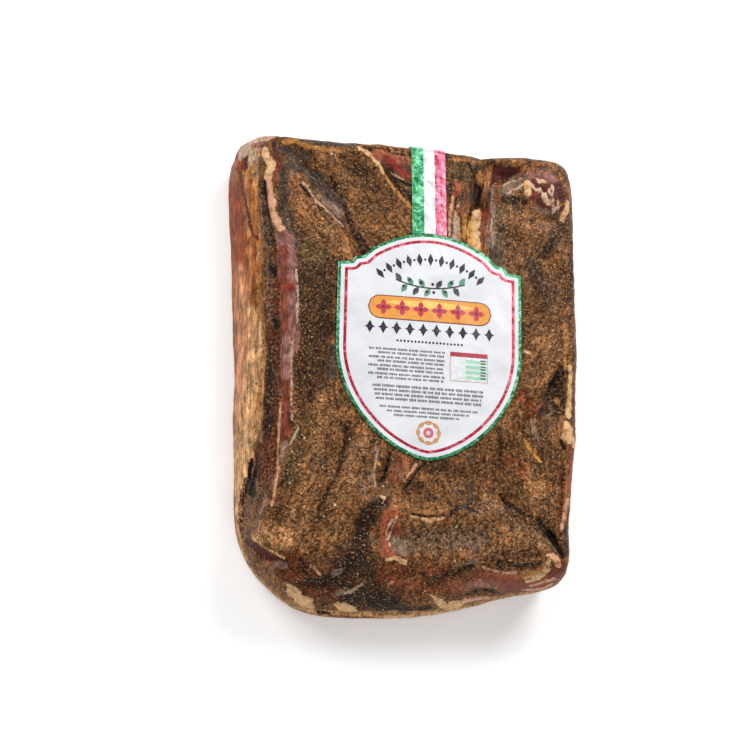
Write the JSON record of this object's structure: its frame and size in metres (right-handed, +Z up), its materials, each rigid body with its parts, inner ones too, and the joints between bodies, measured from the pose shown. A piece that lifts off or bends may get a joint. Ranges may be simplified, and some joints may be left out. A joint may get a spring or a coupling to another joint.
{
  "type": "speck ham",
  "caption": "Whole spice-crusted smoked ham slab with a fat and rind layer underneath, a shield-shaped label and a striped ribbon over one end.",
  "frame": {"origin": "middle of the underside, on the surface that the slab lies on", "axes": "+Z up through the labelled face, +Y to the end that the ribbon wraps over, +X to the right when the label is read upright"},
  "size_m": [0.24, 0.3329, 0.0668],
  "materials": {
    "spiced_lean": "rough ground spice crust under clear glossy film",
    "fat_and_rind": "smoked fat and rind under clear glossy film",
    "label_print": "satin coated paper with foil border lines",
    "foil_stripes": "crinkled coloured foil",
    "clear_film": "clear tight vacuum film"
  },
  "bodies": {
    "root": {"lean_meat": "spiced_lean", "fat_layer": "fat_and_rind", "shield_label": "label_print", "striped_ribbon": "foil_stripes"}
  },
  "joints": []
}
